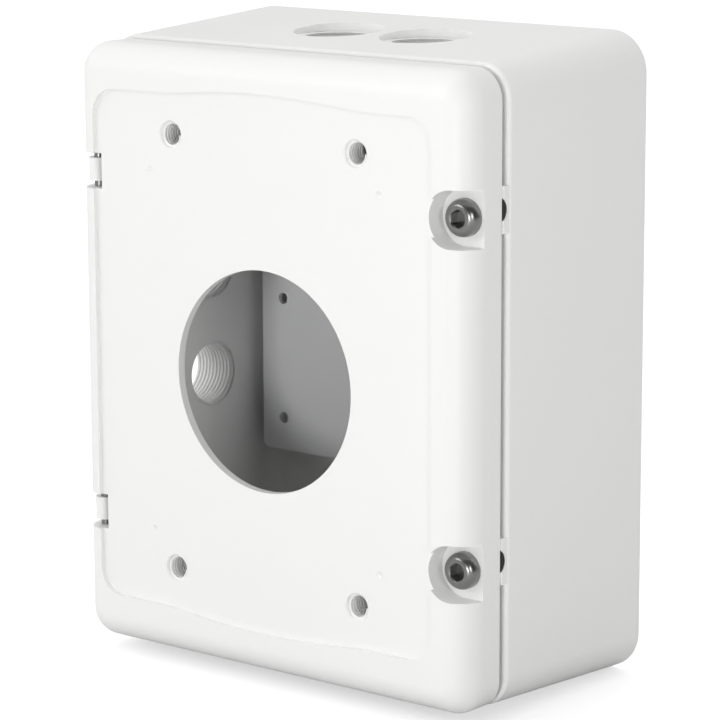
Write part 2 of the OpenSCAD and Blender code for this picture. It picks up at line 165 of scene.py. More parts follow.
# %% Stainless steel
def turned_steel(name, colour, roughness):
    made, tree, shader = material(name)
    shader.inputs["Base Color"].default_value = linear(colour)
    shader.inputs["Metallic"].default_value = 1.0
    shader.inputs["Roughness"].default_value = roughness
    where = node(tree, "ShaderNodeTexCoord")
    marks = node(tree, "ShaderNodeTexNoise", [("Vector", where.outputs["Object"])], Scale=900.0, Detail=2.0)
    bump = node(tree, "ShaderNodeBump", [("Height", marks.outputs["Fac"])], Strength=0.08, Distance=0.0001)
    tree.links.new(bump.outputs["Normal"], shader.inputs["Normal"])
    return made


stainless = turned_steel("stainless_steel_turned", "#939392", 0.3)
spring_steel = turned_steel("spring_steel_phosphated", "#5A5A5C", 0.45)
brass = turned_steel("brass_drawn", "#D2B26A", 0.3)

# %% [markdown]
# ** Silicone seal.** A dull black rubber with a fine moulded grain. The same black also serves as painted shade in the two seam notches.

# %% Silicone
def silicone(name, colour):
    made, tree, shader = material(name)
    shader.inputs["Base Color"].default_value = linear(colour)
    shader.inputs["Roughness"].default_value = 0.75
    where = node(tree, "ShaderNodeTexCoord")
    grain = node(tree, "ShaderNodeTexNoise", [("Vector", where.outputs["Object"])], Scale=1500.0)
    bump = node(tree, "ShaderNodeBump", [("Height", grain.outputs["Fac"])], Strength=0.1, Distance=0.0001)
    tree.links.new(bump.outputs["Normal"], shader.inputs["Normal"])
    return made


gasket_rubber_and_notch_shade = silicone("silicone_black", "#2A2A2B")

# %% [markdown]
# ## Modelling helpers
# The castings are modelled as a machinist would think of them: a block is rounded, hollowed and
# drilled, and then all its sharp edges are eased. Each helper below is one of those steps.

# %% Select, block, bar
def only(piece):
    bpy.ops.object.select_all(action="DESELECT")
    piece.select_set(True)
    bpy.context.view_layer.objects.active = piece


def settle(name):
    piece = bpy.context.object
    piece.name = name
    bpy.ops.object.transform_apply(location=True, rotation=True, scale=True)
    return piece


def block(name, low, high):
    bpy.ops.object.select_all(action="DESELECT")
    middle = [(a + b) / 2 for a, b in zip(low, high)]
    bpy.ops.mesh.primitive_cube_add(size=1, location=middle, scale=[b - a for a, b in zip(low, high)])
    return settle(name)


TURN_TO = {"X": (0, math.pi / 2, 0), "Y": (math.pi / 2, 0, 0), "Z": (0, 0, 0)}


def bar(name, start, axis, length, radius, end_radius=None, sides=72):
    """A bar or a cone that runs from start along an axis; end_radius is its radius at the far end."""
    bpy.ops.object.select_all(action="DESELECT")
    step = Vector((axis == "X", axis == "Y", axis == "Z")) * length
    far = radius if end_radius is None else end_radius
    first, last = (far, radius) if axis == "Y" else (radius, far)
    bpy.ops.mesh.primitive_cone_add(vertices=sides, radius1=first, radius2=last, depth=abs(length),
                                    location=Vector(start) + step / 2, rotation=TURN_TO[axis])
    return settle(name)


def round_rect(width, height, radius, middle=(0.0, 0.0), steps=10):
    """The outline of a rectangle with round corners, as (x, z) points."""
    points = []
    for quarter, (sx, sz) in enumerate([(1, 1), (-1, 1), (-1, -1), (1, -1)]):
        for i in range(steps + 1):
            a = math.pi / 2 * (quarter + i / steps)
            points.append((middle[0] + sx * (width / 2 - radius) + radius * math.cos(a),
                           middle[1] + sz * (height / 2 - radius) + radius * math.sin(a)))
    return points


def loft(name, outline, y, far_outline, far_y):
    """A solid between two outlines of (x, z) points that face each other along Y."""
    bpy.ops.object.select_all(action="DESELECT")
    bpy.ops.mesh.primitive_cylinder_add(vertices=len(outline), end_fill_type="NGON")
    piece = bpy.context.object
    piece.name = name
    rows = sorted(piece.data.vertices, key=lambda v: v.co.z)
    for row, shape, depth in ((rows[:len(outline)], outline, y), (rows[len(outline):], far_outline, far_y)):
        row.sort(key=lambda v: math.atan2(v.co.y, v.co.x) % (2 * math.pi))
        for vertex, (x, z) in zip(row, shape):
            vertex.co = (x, depth, z)
    only(piece)
    bpy.ops.object.mode_set(mode="EDIT")
    bpy.ops.mesh.select_all(action="SELECT")
    bpy.ops.mesh.normals_make_consistent(inside=False)
    bpy.ops.object.mode_set(mode="OBJECT")
    return piece


def plate_from(name, outline, front, back):
    """A flat outline of (x, z) points, extruded from front to back along Y."""
    return loft(name, outline, front, outline, back)

# %% [markdown]
# Edges are rounded in two ways: a chosen edge gets a round of its own, and at the end every sharp edge
# that is left gets the small radius that a casting has. Holes and bosses are cut and added in between.

# %% Round edges, cut, ease, adopt
def round_edges(piece, chosen, radius, segments):
    """Bevels the edges whose two ends pass the test chosen(a, b)."""
    only(piece)
    bpy.ops.object.mode_set(mode="EDIT")
    bpy.ops.mesh.select_mode(type="EDGE")
    bpy.ops.mesh.select_all(action="DESELECT")
    bpy.ops.object.mode_set(mode="OBJECT")
    points = piece.data.vertices
    for edge in piece.data.edges:
        a, b = (points[i].co for i in edge.vertices)
        edge.select = chosen(a, b)
    bpy.ops.object.mode_set(mode="EDIT")
    bpy.ops.mesh.bevel(offset=radius, segments=segments, affect="EDGES", clamp_overlap=False)
    bpy.ops.mesh.select_all(action="SELECT")
    bpy.ops.mesh.remove_doubles(threshold=1e-6)
    bpy.ops.object.mode_set(mode="OBJECT")
    return piece


TINY = 1e-5


def along_depth(a, b):
    return abs(a.x - b.x) < TINY and abs(a.z - b.z) < TINY


def on_front(y):
    return lambda a, b: abs(a.y - y) < TINY and abs(b.y - y) < TINY


def combine(piece, tools, operation="DIFFERENCE"):
    for tool in tools:
        only(piece)
        step = piece.modifiers.new("combine", "BOOLEAN")
        step.operation = operation
        step.solver = "EXACT"
        step.object = tool
        bpy.ops.object.modifier_apply(modifier=step.name)
        bpy.data.objects.remove(tool)
    return piece


def ease(piece, width, segments=2, angle=32):
    """Rounds every sharp edge a little and shades the rest smoothly."""
    only(piece)
    step = piece.modifiers.new("ease", "BEVEL")
    step.limit_method = "ANGLE"
    step.angle_limit = math.radians(angle)
    step.width = width
    step.segments = segments
    bpy.ops.object.modifier_apply(modifier=step.name)
    bpy.ops.object.shade_smooth_by_angle(angle=math.radians(40))
    keep = piece.modifiers.new("flat faces stay flat", "WEIGHTED_NORMAL")
    keep.keep_sharp = True
    bpy.ops.object.modifier_apply(modifier=keep.name)
    print(piece.name, len(piece.data.polygons), "faces")
    return piece


def adopt(piece, node_name, finish):
    """The piece stands for a CAD node: it takes its finish, rides on its body and hides it."""
    wear(piece, finish)
    body = next(b for b, names in frame["record"]["behaviour"]["bodies"].items() if node_name in names)
    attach(piece, body)
    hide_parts(node_name)
    return piece

# %% [markdown]
# ## The cover
# A die-cast lid, 20 mm deep. Its front edge is a full 11 mm round, which is what gives the box its soft
# look, so it is a block with two bevels: first the four corners, then the whole front edge.

# %% Cover: sizes
COVER_FRONT = cover_low[1]
COVER_DEPTH = 20.5 * MM
COVER_BACK = COVER_FRONT + COVER_DEPTH
COVER_SIDE = cover_high[0]
COVER_TOP, COVER_BOTTOM = cover_high[2], cover_low[2]
CORNER = 11.8 * MM
FRONT_ROUND = 11 * MM
SKIRT = 3 * MM
PANEL = COVER_FRONT + 1.8 * MM
INSIDE = PANEL + 3.4 * MM
hinge = next(j for j in frame["joints"] if j["name"] == "cover_hinge")
HINGE_X, HINGE_Y = hinge["pos_m"][0], hinge["pos_m"][1]
HINGE_Z = 68.5 * MM
NOTCH_WALL = HINGE_X + 6.8 * MM
NOTCH_TALL = 14 * MM
KNUCKLE_TALL = 10 * MM
RIB = 2.4 * MM
NOTCH_SKIN = 2.4 * MM
BOSS_WALL = 4.5 * MM
POCKET_WALL = 2.5 * MM
HINGE_BLOCK_RADIUS = 5.2 * MM
SCREW_BORE_RADIUS = 4.2 * MM
SEAL_CORNER = 6 * MM
COVER_EASE = 0.45 * MM
SCREW_X = (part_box("cover_screw_upper")[0][0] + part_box("cover_screw_upper")[1][0]) / 2
SCREW_Z = 65.5 * MM
SEAT = COVER_FRONT + 10.2 * MM
POCKET_FLOOR = 3.6 * MM
POCKET_TALL = 21.6 * MM
POCKET_SIDE = 12 * MM
camera_bolts = mounts["camera_pattern"]
PATTERN_X = camera_bolts["pos_m"][0]
PATTERN_W = camera_bolts["dims"]["spacing_x_mm"] * MM
PATTERN_H = camera_bolts["dims"]["spacing_y_mm"] * MM
TAP_RADIUS = camera_bolts["dims"]["hole_r_mm"] * MM
BOSS_END = PANEL + 11 * MM
MARK_W, MARK_H = 113 * MM, 142.8 * MM


def four_places(width, height):
    return [(PATTERN_X + sx * width / 2, sz * height / 2) for sx in (-1, 1) for sz in (-1, 1)]


def ring(name, half_w, half_h, thick, radius, front, back):
    """A closed rectangular rib with round corners, whose middle line has the given half sizes."""
    outer = plate_from(name, round_rect(2 * half_w + thick, 2 * half_h + thick, radius + thick / 2),
                       front, back)
    inner = plate_from("inner", round_rect(2 * half_w - thick, 2 * half_h - thick, radius - thick / 2),
                       front - MM, back + MM)
    return combine(outer, [inner])


def pocket_outline(z, extra=0.0, steps=24):
    """Round towards the panel, then straight out through the cover's side."""
    radius = POCKET_TALL / 2 + extra
    side = SCREW_X + POCKET_SIDE
    points = []
    for i in range(steps + 1):
        a = math.pi * (0.5 + i / steps)
        points.append((SCREW_X + radius * math.cos(a), z + radius * math.sin(a)))
    return points + [(side, z - radius), (side, z + radius)]

# %% [markdown]
# The hollow behind the front is cut out in one piece. Bosses behind the tapped holes, walls round the
# screw pockets and blocks that hold the hinge pins are taken from that cutter first, so that they are
# left standing, as cores leave them in the mould.

# %% Cover: the shell and what stands inside it
cover = block("cover_casting", (-COVER_SIDE, COVER_FRONT, COVER_BOTTOM), (COVER_SIDE, COVER_BACK, COVER_TOP))
round_edges(cover, along_depth, CORNER, 14)
round_edges(cover, on_front(COVER_FRONT), FRONT_ROUND, 14)
hollow = block("hollow", (-COVER_SIDE + SKIRT, INSIDE, COVER_BOTTOM + SKIRT),
               (COVER_SIDE - SKIRT, COVER_BACK + 5 * MM, COVER_TOP - SKIRT))
round_edges(hollow, along_depth, CORNER - SKIRT, 8)
round_edges(hollow, on_front(INSIDE), 3 * MM, 4)
standing = [bar("boss", (x, INSIDE - MM, z), "Y", BOSS_END - INSIDE + MM, TAP_RADIUS + BOSS_WALL, sides=48)
            for x, z in four_places(PATTERN_W, PATTERN_H)]
for s in (-1, 1):
    standing.append(plate_from("pocket wall", pocket_outline(s * SCREW_Z, POCKET_WALL),
                               INSIDE - MM, SEAT + POCKET_FLOOR))
    for t in (-1, 1):
        edge = HINGE_Z * s + t * NOTCH_TALL / 2
        standing.append(bar("hinge block", (HINGE_X, HINGE_Y, edge), "Z", t * KNUCKLE_TALL,
                            HINGE_BLOCK_RADIUS, sides=40))
        low_z, high_z = sorted((edge, edge + t * NOTCH_SKIN))
        standing.append(block("notch wall", (-COVER_SIDE, INSIDE - MM, low_z),
                              (NOTCH_WALL + MM, COVER_BACK, high_z)))
combine(hollow, standing)
combine(cover, [hollow])
SEAL_X = -(NOTCH_WALL + MM + RIB / 2)
SEAL_Z = COVER_TOP - (COVER_SIDE - SEAL_X)
combine(cover, [ring("rib", SEAL_X, SEAL_Z, RIB, SEAL_CORNER, INSIDE - MM, cover_high[1])], "UNION")
print("cover shell", len(cover.data.polygons), "faces")

# %% [markdown]
# Now the machining of the front: the recessed panel with its crowned edges, the cable opening, the
# tapped holes, four drill marks, the screw pockets and the hinge notches.

# %% Cover: cuts
PANEL_LEFT, PANEL_RIGHT = -COVER_SIDE + 10.1 * MM, COVER_SIDE - 16.3 * MM
PANEL_TOP = COVER_TOP - 17.4 * MM
PANEL_ROUND = 11 * MM
CROWN, CROWN_W = 3 * MM, 94 * MM


def crown(x):
    t = 2 * (x - PATTERN_X) / CROWN_W
    g = 1 - t * t
    return CROWN * (g + math.sqrt(g * g + 0.12 ** 2)) / 2


def panel_outline(steps=60):
    width = PANEL_RIGHT - PANEL_LEFT
    middle = (PANEL_LEFT + PANEL_RIGHT) / 2
    corners = round_rect(width, 2 * PANEL_TOP, PANEL_ROUND, (middle, 0.0))
    quarter = len(corners) // 4
    run = [PANEL_RIGHT - PANEL_ROUND - (width - 2 * PANEL_ROUND) * i / steps for i in range(1, steps)]
    top = [(x, PANEL_TOP + crown(x)) for x in run]
    bottom = [(x, -PANEL_TOP - crown(x)) for x in reversed(run)]
    return corners[:quarter] + top + corners[quarter:3 * quarter] + bottom + corners[3 * quarter:]


cable_port = mounts["cable_port"]
PORT_RADIUS = cable_port["dims"]["r_mm"] * MM
PORT_Z = cable_port["pos_m"][2]
cuts = [plate_from("panel recess", panel_outline(), COVER_FRONT - MM, PANEL),
        bar("port", (PATTERN_X, COVER_FRONT - MM, PORT_Z), "Y", 10 * MM, PORT_RADIUS, sides=144)]
for x, z in four_places(PATTERN_W, PATTERN_H):
    cuts.append(bar("tap", (x, COVER_FRONT, z), "Y", BOSS_END - COVER_FRONT + MM, TAP_RADIUS, sides=64))
    cuts.append(bar("mouth", (x, PANEL - 0.2 * MM, z), "Y", 0.9 * MM, TAP_RADIUS + 0.7 * MM,
                    TAP_RADIUS - 0.2 * MM, sides=64))
for x, z in four_places(MARK_W, MARK_H):
    cuts.append(bar("mark", (x, PANEL - 0.1 * MM, z), "Y", 1.0 * MM, 1.6 * MM, 0.4 * MM, sides=32))
for s in (-1, 1):
    cuts.append(plate_from("pocket", pocket_outline(s * SCREW_Z), COVER_FRONT - MM, SEAT))
    cuts.append(bar("screw bore", (SCREW_X, SEAT - MM, s * SCREW_Z), "Y", 8 * MM, SCREW_BORE_RADIUS, sides=48))
    cuts.append(block("notch", (-COVER_SIDE - MM, COVER_FRONT - MM, s * HINGE_Z - NOTCH_TALL / 2),
                      (NOTCH_WALL, COVER_BACK + MM, s * HINGE_Z + NOTCH_TALL / 2)))
combine(cover, cuts)
ease(cover, COVER_EASE, segments=3)

# %% [markdown]
# The threads are real helices: one tooth's profile is swept round the axis and along it by the screw
# modifier, from the outer radius of the thread to its root.

# %% Cover: tapped threads
SWEEP_TO = {"X": (0, math.pi / 2, 0), "Y": (-math.pi / 2, 0, 0), "Z": (0, 0, 0)}


def swept(name, profile, start, axis, rise=0.0, turns=1, steps=48):
    """Sweeps an open profile of (radius, distance along the axis) points round an axis."""
    bpy.ops.object.select_all(action="DESELECT")
    bpy.ops.mesh.primitive_circle_add(vertices=len(profile), fill_type="NOTHING")
    piece = bpy.context.object
    piece.name = name
    for vertex, (radius, along) in zip(piece.data.vertices, profile):
        vertex.co = (radius, 0, along)
    ends = {0, len(profile) - 1}
    closing = next(e.index for e in piece.data.edges if set(e.vertices) == ends)
    bpy.ops.object.mode_set(mode="EDIT")
    bpy.ops.mesh.select_mode(type="EDGE")
    bpy.ops.mesh.select_all(action="DESELECT")
    bpy.ops.object.mode_set(mode="OBJECT")
    piece.data.edges[closing].select = True
    bpy.ops.object.mode_set(mode="EDIT")
    bpy.ops.mesh.delete(type="EDGE_FACE")
    bpy.ops.object.mode_set(mode="OBJECT")
    only(piece)
    sweep = piece.modifiers.new("sweep", "SCREW")
    sweep.axis = "Z"
    sweep.screw_offset = rise
    sweep.iterations = turns
    sweep.steps = sweep.render_steps = steps
    sweep.use_merge_vertices = True
    sweep.merge_threshold = 1e-6
    bpy.ops.object.modifier_apply(modifier=sweep.name)
    piece.rotation_euler = SWEEP_TO[axis]
    piece.location = start
    bpy.ops.object.transform_apply(location=True, rotation=True, scale=True)
    bpy.ops.object.shade_smooth_by_angle(angle=math.radians(30))
    return piece


def thread(name, start, axis, length, outer, pitch, depth, inward=True, steps=48):
    """A helical thread that runs from start along an axis; a tapped one has its teeth towards the axis."""
    crest, root = (outer - depth, outer) if inward else (outer, outer - depth)
    profile = [(root, 0.0), (root, 0.06), (crest, 0.26), (crest, 0.74), (root, 1.0)]
    return swept(name, [(radius, rise * pitch) for radius, rise in profile], start, axis,
                 pitch, max(1, round(length / pitch) - 1), steps)


def join(piece, others):
    only(piece)
    for other in others:
        other.select_set(True)
    bpy.ops.object.join()
    return piece


PITCH_TAP, DEPTH_TAP = 1.5 * MM, 0.9 * MM
tapped = [thread("tapped thread", (x, PANEL + 0.3 * MM, z), "Y", 10.5 * MM, TAP_RADIUS, PITCH_TAP, DEPTH_TAP)
          for x, z in four_places(PATTERN_W, PATTERN_H)]
for piece in tapped:
    wear(piece, white_coat)
wear(cover, white_coat)
join(cover, tapped)
adopt(cover, "cover", white_coat)

# %% [markdown]
# ## The cover screws
# Button-head screws: the profile of half a screw is swept round its axis, then the hexagon socket is
# cut and the thread is added.

# %% Cover screws
HEAD_TALL, SOCKET_FLAT_RADIUS, SHANK_RADIUS, THREAD_RADIUS = 5.57 * MM, 4.2 * MM, 3.3 * MM, 4 * MM
SOCKET_ACROSS_FLATS, SOCKET_DEEP = 6 * MM, 4.4 * MM
PITCH_SCREW, THREAD_LONG = 1.25 * MM, 10 * MM
DOME_SHARE = 0.62


def screw_profile(radius, length, steps=10):
    dome = HEAD_TALL * DOME_SHARE
    across = radius - SOCKET_FLAT_RADIUS
    points = [(0.0, 0.0), (SOCKET_FLAT_RADIUS, 0.0)]
    for i in range(1, steps + 1):
        a = math.pi / 2 * i / steps
        points.append((SOCKET_FLAT_RADIUS + across * math.sin(a), dome * (1 - math.cos(a))))
    return points + [(radius, HEAD_TALL), (SHANK_RADIUS, HEAD_TALL), (SHANK_RADIUS, length - 0.8 * MM),
                     (SHANK_RADIUS - 0.8 * MM, length), (0.0, length)]


for side in ("upper", "lower"):
    low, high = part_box(f"cover_screw_{side}")
    x, z = (low[0] + high[0]) / 2, (low[2] + high[2]) / 2
    screw = swept(f"button_head_screw_{side}", screw_profile((high[0] - low[0]) / 2, high[1] - low[1]),
                  (x, low[1], z), "Y", steps=96)
    only(screw)
    bpy.ops.object.mode_set(mode="EDIT")
    bpy.ops.mesh.select_all(action="SELECT")
    bpy.ops.mesh.normals_make_consistent(inside=False)
    bpy.ops.object.mode_set(mode="OBJECT")
    combine(screw, [
        bar("socket", (x, low[1] - MM, z), "Y", MM + SOCKET_DEEP, SOCKET_ACROSS_FLATS / math.sqrt(3), sides=6),
        bar("socket mouth", (x, low[1] - 0.1 * MM, z), "Y", 0.7 * MM, SOCKET_FLAT_RADIUS - 0.5 * MM,
            SOCKET_ACROSS_FLATS / 2 - 0.1 * MM)])
    ease(screw, 0.12 * MM)
    rolled = thread("rolled thread", (x, high[1] - THREAD_LONG, z), "Y", THREAD_LONG, THREAD_RADIUS,
                    PITCH_SCREW, THREAD_RADIUS - SHANK_RADIUS, inward=False)
    wear(rolled, stainless)
    wear(screw, stainless)
    join(screw, [rolled])
    adopt(screw, f"cover_screw_{side}", stainless)

# %% [markdown]
# ## The back box
# A deep casting whose outside leans outwards to the wall, so it is a loft between two outlines. Inside
# is a smooth pan; between pan and skin it is cored from behind, with ribs left standing across.

# %% Back box: sizes
RIM = -83.9 * MM
RIM_W, RIM_H = 195.6 * MM, 241.2 * MM
RIM_MIDDLE = (0.0, -0.6 * MM)
RIM_CORNER, BACK_CORNER = 13 * MM, 16 * MM
RIM_ROUND = 1.6 * MM
FLOOR = -8 * MM
FLOOR_GAP = 3 * MM
CAVITY_W, CAVITY_H = 158 * MM, 202.4 * MM
CAVITY_CORNER = 9 * MM
FLOOR_FILLET = 8 * MM
PAN = 3.5 * MM
SKIN = 4 * MM
RIB_HALF = 1.5 * MM
RIB_STEPS_UP = 4.4
ENTRY_WALL = 5.2 * MM
SCREW_BOSS_RADIUS = 8 * MM
INSERT_RADIUS = 4.8 * MM
POST_RADIUS = 5 * MM
EARTH_PAD_RADIUS = 6 * MM
ANCHOR_PAD_WALL = 4.5 * MM
KNUCKLE_RADIUS, KNUCKLE_HALF = 4 * MM, 4.5 * MM
PAD_INNER, PAD_OUTER, PAD_HALF = 3.4 * MM, 0.4 * MM, 8.8 * MM
PAD_RISE = 2.1 * MM
MOON_RADIUS, MOON_OUT = 4.6 * MM, 2.2 * MM
GROOVE_W, GROOVE_DEPTH = 2.8 * MM, 3.6 * MM
ENTRY_LEAD = 1.1 * MM
SEAT_TOP_DEPTH, SEAT_TOP_RADIUS = 2.4 * MM, 18 * MM
PIN_BORE_RADIUS = 2.1 * MM
BOX_EASE = 0.5 * MM
side_entries = [mounts["conduit_side_upper"], mounts["conduit_side_lower"]]
top_entries = [mounts["conduit_top_left"], mounts["conduit_top_right"]]
ENTRY_RADIUS = side_entries[0]["dims"]["r_mm"] * MM
anchors = mounts["wall_anchors"]["dims"]
plate_screws = [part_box(f"plate_screw_{i}") for i in (1, 2, 3, 4)]
PLATE_BACK = plate_high[1]


def centre(corners):
    return [(a + b) / 2 for a, b in zip(*corners)]

# %% [markdown]
# The cutter for the cored pockets is made first: a ring, less its ribs and less the solid metal round
# the conduit entries and the screws.

# %% Back box: shell, pan and cored pockets
back_w, back_h = box_high[0] - box_low[0], box_high[2] - box_low[2]
box = loft("box_casting", round_rect(RIM_W, RIM_H, RIM_CORNER, RIM_MIDDLE, 14), RIM,
           round_rect(back_w, back_h, BACK_CORNER, (0.0, 0.0), 14), 0.0)
round_edges(box, on_front(RIM), RIM_ROUND, 5)
cavity = plate_from("cavity", round_rect(CAVITY_W, CAVITY_H, CAVITY_CORNER), RIM - 5 * MM, FLOOR)
round_edges(cavity, on_front(FLOOR), FLOOR_FILLET, 8)
behind = plate_from("behind the floor", round_rect(CAVITY_W + 2 * PAN, CAVITY_H + 2 * PAN, CAVITY_CORNER + PAN),
                    -FLOOR_GAP, MM)
pockets = plate_from("cored ring",
                     round_rect(RIM_W - 2 * SKIN, RIM_H - 2 * SKIN, RIM_CORNER - SKIN, RIM_MIDDLE),
                     RIM + 12 * MM, 2 * MM)
left_standing = [plate_from("pan", round_rect(CAVITY_W + 2 * PAN, CAVITY_H + 2 * PAN, CAVITY_CORNER + PAN),
                            RIM, 3 * MM)]
for i in range(-2, 3):
    x, z = i * CAVITY_W / 4, i * CAVITY_H / RIB_STEPS_UP
    left_standing.append(block("rib", (x - RIB_HALF, RIM, -0.2), (x + RIB_HALF, 4 * MM, 0.2)))
    left_standing.append(block("rib", (-0.2, RIM, z - RIB_HALF), (0.2, 4 * MM, z + RIB_HALF)))
for entry in side_entries:
    x, y, z = entry["pos_m"]
    left_standing.append(bar("entry boss", (0, y, z), "X", -0.2, ENTRY_RADIUS + ENTRY_WALL, sides=64))
for entry in top_entries:
    x, y, z = entry["pos_m"]
    left_standing.append(bar("entry boss", (x, y, 0), "Z", 0.2, ENTRY_RADIUS + ENTRY_WALL, sides=64))
for s in (-1, 1):
    left_standing.append(bar("screw boss", (SCREW_X, RIM, s * SCREW_Z), "Y", 12.1 * MM,
                             SCREW_BOSS_RADIUS, sides=40))
combine(pockets, left_standing)
combine(box, [cavity, behind, pockets])
print("box shell", len(box.data.polygons), "faces")

# %% [markdown]
# What stands up from the floor and the rim: posts under the plate, the earth pad, ribs and pads on the
# floor's back, the hinge knuckles, and the pads that close the seam beside the screws.

# %% Back box: posts, pads and knuckles
earth_x, earth_y, earth_z = centre(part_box("earth_screw"))
raised = [bar("post", (centre(c)[0], PLATE_BACK, centre(c)[2]), "Y", FLOOR - PLATE_BACK + MM,
              POST_RADIUS, sides=40) for c in plate_screws]
raised.append(bar("earth pad", (earth_x, FLOOR - 4 * MM, earth_z), "Y", 5 * MM, EARTH_PAD_RADIUS, sides=40))
ANCHOR_PLACES = [(sx * anchors["spacing_x_mm"] / 2 * MM, sz * anchors["spacing_y_mm"] / 2 * MM)
                 for sx in (-1, 1) for sz in (-1, 1)]
for x, z in ANCHOR_PLACES:
    raised.append(bar("anchor pad", (x, -FLOOR_GAP - MM, z), "Y", FLOOR_GAP + MM,
                      anchors["hole_r_mm"] * MM + ANCHOR_PAD_WALL, sides=40))
for i in (-1, 0, 1):
    x = i * CAVITY_W / 4
    raised.append(block("floor rib", (x - RIB_HALF, -FLOOR_GAP - MM, -CAVITY_H / 2 - MM),
                        (x + RIB_HALF, 0, CAVITY_H / 2 + MM)))
for s in (-1, 1):
    z = s * HINGE_Z
    raised.append(bar("knuckle", (HINGE_X, HINGE_Y, z - KNUCKLE_HALF), "Z", 2 * KNUCKLE_HALF,
                      KNUCKLE_RADIUS, sides=48))
    raised.append(block("knuckle foot", (HINGE_X - KNUCKLE_RADIUS, HINGE_Y, z - KNUCKLE_HALF),
                        (HINGE_X + KNUCKLE_RADIUS, RIM + 0.5 * MM, z + KNUCKLE_HALF)))
    pad_z = s * SCREW_Z + PAD_RISE
    pad_front = COVER_BACK + 0.3 * MM
    pad = block("seam pad", (RIM_W / 2 - PAD_INNER, pad_front, pad_z - PAD_HALF),
                (RIM_W / 2 - PAD_OUTER, RIM + 0.5 * MM, pad_z + PAD_HALF))
    combine(pad, [bar("half moon", (RIM_W / 2 - 5 * MM, pad_front - MOON_OUT, pad_z), "X", 6 * MM,
                      MOON_RADIUS)])
    raised.append(pad)
combine(box, raised, "UNION")

# %% [markdown]
# The machined holes: the groove of the seal, the seats of the thread inserts, the four conduit entries
# with their seats and lead-ins, and the holes in the floor.

# %% Back box: cuts
cuts = [ring("seal groove", -SEAL_X, SEAL_Z, GROOVE_W, SEAL_CORNER, RIM - MM, RIM + GROOVE_DEPTH)]
for s in (-1, 1):
    cuts.append(bar("insert seat", (SCREW_X, RIM - MM, s * SCREW_Z), "Y", 9 * MM, INSERT_RADIUS, sides=48))
    pad_z = s * SCREW_Z + PAD_RISE
    cuts.append(block("drain slot", (RIM_W / 2 - 4.2 * MM, COVER_BACK - MM, pad_z - 4.2 * MM),
                      (RIM_W / 2 - MM, RIM + 10 * MM, pad_z + 4.2 * MM)))
for entry in side_entries:
    x, y, z = entry["pos_m"]
    cuts.append(bar("entry", (-0.12, y, z), "X", 0.12 - CAVITY_W / 2 + MM, ENTRY_RADIUS, sides=96))
    cuts.append(bar("lead-in", (-CAVITY_W / 2 + 0.1 * MM, y, z), "X", -ENTRY_LEAD, ENTRY_RADIUS + ENTRY_LEAD,
                    ENTRY_RADIUS, sides=96))
seat_floor = 120 * MM + (box_high[2] - 120 * MM) / 2 - SEAT_TOP_DEPTH
for entry in top_entries:
    x, y, z = entry["pos_m"]
    cuts.append(bar("entry", (x, y, CAVITY_H / 2 - MM), "Z", 40 * MM, ENTRY_RADIUS, sides=96))
    cuts.append(bar("seat", (x, y, seat_floor), "Z", 20 * MM, SEAT_TOP_RADIUS, sides=96))
    cuts.append(bar("seat lead-in", (x, y, seat_floor + 0.05 * MM), "Z", -ENTRY_LEAD,
                    ENTRY_RADIUS + ENTRY_LEAD, ENTRY_RADIUS, sides=96))
for x, z in ANCHOR_PLACES:
    cuts.append(bar("anchor hole", (x, FLOOR - 2 * MM, z), "Y", 12 * MM, anchors["hole_r_mm"] * MM, sides=40))
for c in plate_screws:
    x, y, z = centre(c)
    cuts.append(bar("post hole", (x, PLATE_BACK - MM, z), "Y", FLOOR - PLATE_BACK + 0.5 * MM, 2 * MM, sides=32))
cuts.append(bar("earth hole", (earth_x, FLOOR - 5 * MM, earth_z), "Y", 7.5 * MM, 2.5 * MM, sides=32))
for s in (-1, 1):
    cuts.append(bar("pin bore", (HINGE_X, HINGE_Y, s * HINGE_Z - 6 * MM), "Z", 12 * MM,
                    PIN_BORE_RADIUS, sides=40))
combine(box, cuts)
ease(box, BOX_EASE, segments=3)

# %% [markdown]
# The four conduit entries have a coarse pipe thread, 14 turns to the inch.

# %% Back box: conduit threads
PITCH_ENTRY, DEPTH_ENTRY = 1.814 * MM, 1.16 * MM
tapped = []
for entry in side_entries:
    x, y, z = entry["pos_m"]
    length = entry["dims"]["length_mm"] * MM
    tapped.append(thread("conduit thread", (x - length / 2 + 0.4 * MM, y, z), "X", length,
                         ENTRY_RADIUS, PITCH_ENTRY, DEPTH_ENTRY, steps=96))
for entry in top_entries:
    x, y, z = entry["pos_m"]
    length = entry["dims"]["length_mm"] * MM
    tapped.append(thread("conduit thread", (x, y, z - length / 2), "Z", length - MM,
                         ENTRY_RADIUS, PITCH_ENTRY, DEPTH_ENTRY, steps=96))
for piece in tapped:
    wear(piece, white_coat)
wear(box, white_coat)
join(box, tapped)
adopt(box, "back_box", white_coat)

# %% [markdown]
# Each half-moon of the seam pads is a deep notch that looks black with shade. A small black block in the
# seal's rubber finish sits behind it as painted shade; it is not a real part.

# %% Painted shade in the seam notches
for side, s in (("upper", 1), ("lower", -1)):
    z = s * SCREW_Z + PAD_RISE
    # A black block as painted shade, filling the shaded gap behind each half-moon notch.
    seal = block(f"notch_painted_shade_{side}", (RIM_W / 2 - 4.1 * MM, pad_front + 0.1 * MM, z - 4.1 * MM),
                 (RIM_W / 2 - 1.1 * MM, RIM + 8 * MM, z + 4.1 * MM))
    ease(seal, 0.3 * MM)
    wear(seal, gasket_rubber_and_notch_shade)
    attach(seal, "box")

# %% [markdown]
# The pieces that stay as the CAD model has them only need their finish.

